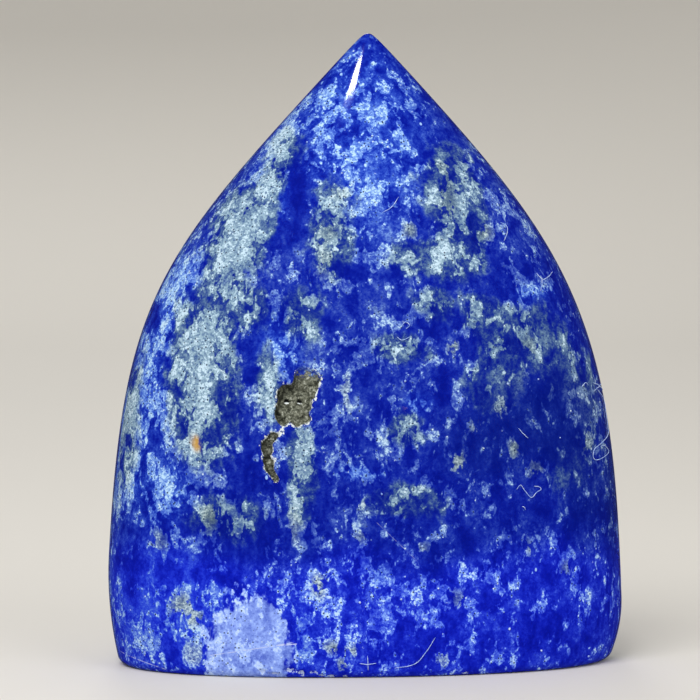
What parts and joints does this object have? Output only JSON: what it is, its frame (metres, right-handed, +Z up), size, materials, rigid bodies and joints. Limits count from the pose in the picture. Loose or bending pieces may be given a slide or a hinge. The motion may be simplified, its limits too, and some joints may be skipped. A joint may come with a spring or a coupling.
{
  "type": "lapis lazuli freeform",
  "caption": "Polished freeform of blue lapis lazuli with pale mottling: a broad domed face rising to a pointed top, small natural pits, and a flat sawn base that it stands on.",
  "frame": {"origin": "on the flat base, under the middle of the stone's bounding outline", "axes": "+Z up from the base to the pointed tip; X across the broad faces; the broad face with the two natural pits looks towards -Y"},
  "size_m": [0.0617, 0.0305, 0.075],
  "materials": {
    "polished_lapis": "hand polished stone: saturated royal blue lazurite, mottled with pale blue and grey-white calcite, with small pyrite flecks"
  },
  "bodies": {
    "root": {"stone": "polished_lapis"}
  },
  "joints": []
}
